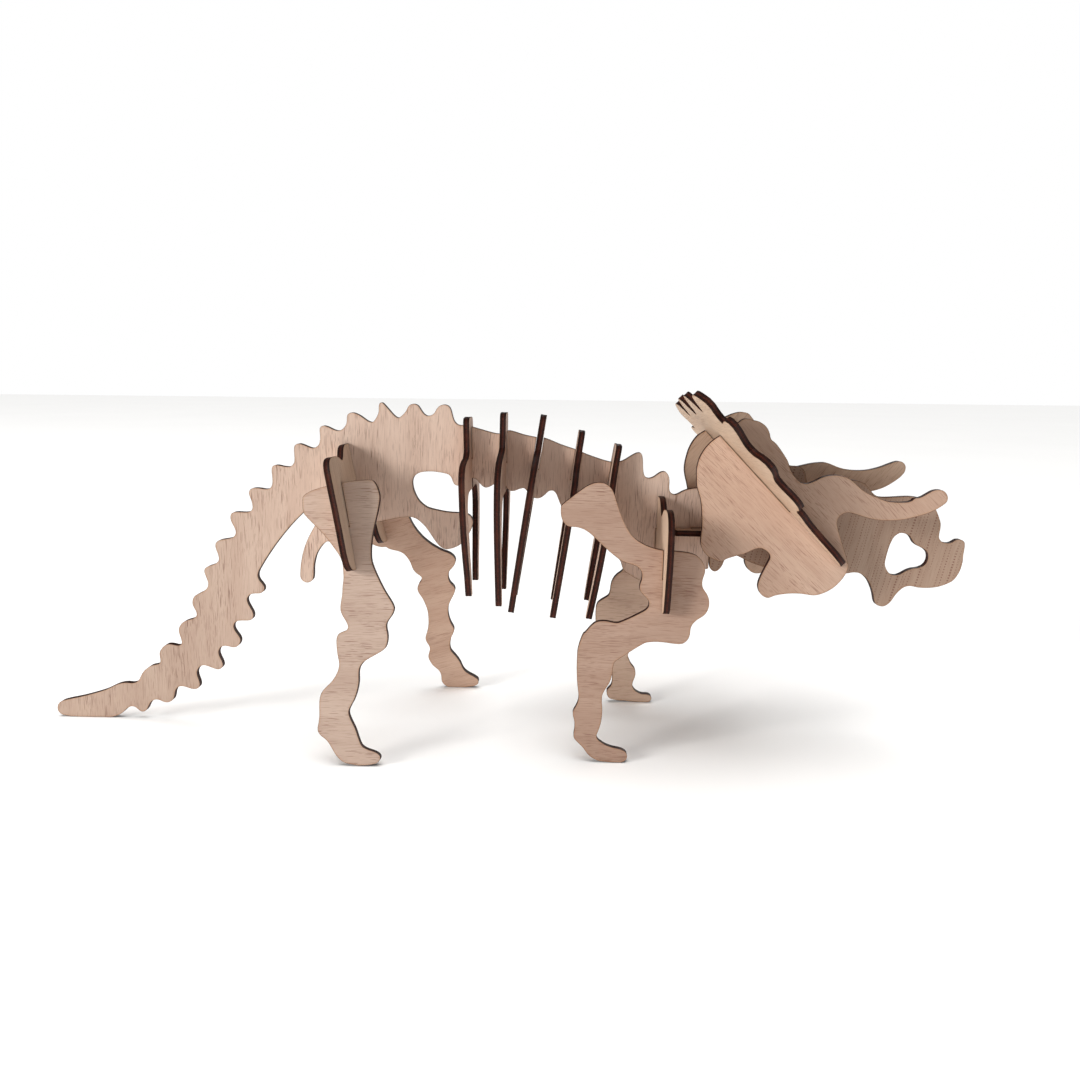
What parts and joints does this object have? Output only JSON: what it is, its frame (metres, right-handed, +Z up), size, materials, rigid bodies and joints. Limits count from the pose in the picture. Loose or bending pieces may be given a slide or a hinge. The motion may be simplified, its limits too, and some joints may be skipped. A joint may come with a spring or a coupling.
{
  "type": "wooden 3d jigsaw model",
  "caption": "Slot-together plywood skeleton of a horned, frilled dinosaur standing on four legs and the tip of its long drooping tail; every flat piece slides out of its notch.",
  "frame": {"origin": "centre of the footprint box of the whole model, on the surface it stands on", "axes": "+X from the tail towards the head, +Z up, +Y towards the animal's left side, the side away from the viewer"},
  "size_m": [0.4744, 0.1369, 0.1776],
  "materials": {
    "plywood": "bare unfinished plywood, matt faces, charred dark brown laser-cut edges"
  },
  "bodies": {
    "cheek_plate_far": {"cheek_plate_far": "plywood"},
    "cheek_plate_near": {"cheek_plate_near": "plywood"},
    "fore_leg_far": {"fore_leg_far": "plywood"},
    "fore_leg_near": {"fore_leg_near": "plywood"},
    "frill_plate": {"frill_plate": "plywood"},
    "hind_leg_far": {"hind_leg_far": "plywood"},
    "hind_leg_near": {"hind_leg_near": "plywood"},
    "hip_plate": {"hip_plate": "plywood"},
    "neck_bar": {"neck_bar": "plywood"},
    "rib_1": {"rib_1": "plywood"},
    "rib_2": {"rib_2": "plywood"},
    "rib_3": {"rib_3": "plywood"},
    "rib_4": {"rib_4": "plywood"},
    "rib_5": {"rib_5": "plywood"},
    "shoulder_plate": {"shoulder_plate": "plywood"},
    "skull_plate": {"skull_plate": "plywood"},
    "spine_plate": {"spine_plate": "plywood"}
  },
  "joints": [
    {"name": "hip_plate_pull", "type": "slide", "parent": "spine_plate", "child": "hip_plate", "axis": [0.1908, 0, -0.9816], "range_m": [0, 0.025]},
    {"name": "shoulder_plate_pull", "type": "slide", "parent": "spine_plate", "child": "shoulder_plate", "axis": [-0.014, 0, -0.9999], "range_m": [0, 0.03]},
    {"name": "hind_leg_near_pull", "type": "slide", "parent": "hip_plate", "child": "hind_leg_near", "axis": [0.1882, -0.1638, -0.9684], "range_m": [0, 0.02]},
    {"name": "hind_leg_far_pull", "type": "slide", "parent": "hip_plate", "child": "hind_leg_far", "axis": [0.1874, 0.1874, -0.9642], "range_m": [0, 0.018]},
    {"name": "fore_leg_near_pull", "type": "slide", "parent": "shoulder_plate", "child": "fore_leg_near", "axis": [-0.0139, -0.061, -0.998], "range_m": [0, 0.016]},
    {"name": "fore_leg_far_pull", "type": "slide", "parent": "shoulder_plate", "child": "fore_leg_far", "axis": [-0.0139, 0.061, -0.998], "range_m": [0, 0.016]},
    {"name": "rib_1_lift", "type": "slide", "parent": "spine_plate", "child": "rib_1", "axis": [-0.0207, 0, 0.9998], "range_m": [0, 0.0151]},
    {"name": "rib_2_lift", "type": "slide", "parent": "spine_plate", "child": "rib_2", "axis": [0.0117, 0, 0.9999], "range_m": [0, 0.0148]},
    {"name": "rib_3_lift", "type": "slide", "parent": "spine_plate", "child": "rib_3", "axis": [0.1542, 0, 0.988], "range_m": [0, 0.0155]},
    {"name": "rib_4_lift", "type": "slide", "parent": "spine_plate", "child": "rib_4", "axis": [0.1436, 0, 0.9896], "range_m": [0, 0.014]},
    {"name": "rib_5_lift", "type": "slide", "parent": "spine_plate", "child": "rib_5", "axis": [0.1589, 0, 0.9873], "range_m": [0, 0.0139]},
    {"name": "neck_bar_pull", "type": "slide", "parent": "spine_plate", "child": "neck_bar", "axis": [1, 0, 0], "range_m": [0, 0.0087]},
    {"name": "skull_pull", "type": "slide", "parent": "neck_bar", "child": "skull_plate", "axis": [1, 0, 0], "range_m": [0, 0.0094]},
    {"name": "frill_lift", "type": "slide", "parent": "skull_plate", "child": "frill_plate", "axis": [-0.6935, 0, 0.7204], "range_m": [0, 0.024]},
    {"name": "cheek_plate_near_pull", "type": "slide", "parent": "frill_plate", "child": "cheek_plate_near", "axis": [0.6937, -0.0347, -0.7194], "range_m": [0, 0.038]},
    {"name": "cheek_plate_far_pull", "type": "slide", "parent": "frill_plate", "child": "cheek_plate_far", "axis": [0.6925, 0.0346, -0.7206], "range_m": [0, 0.038]}
  ]
}
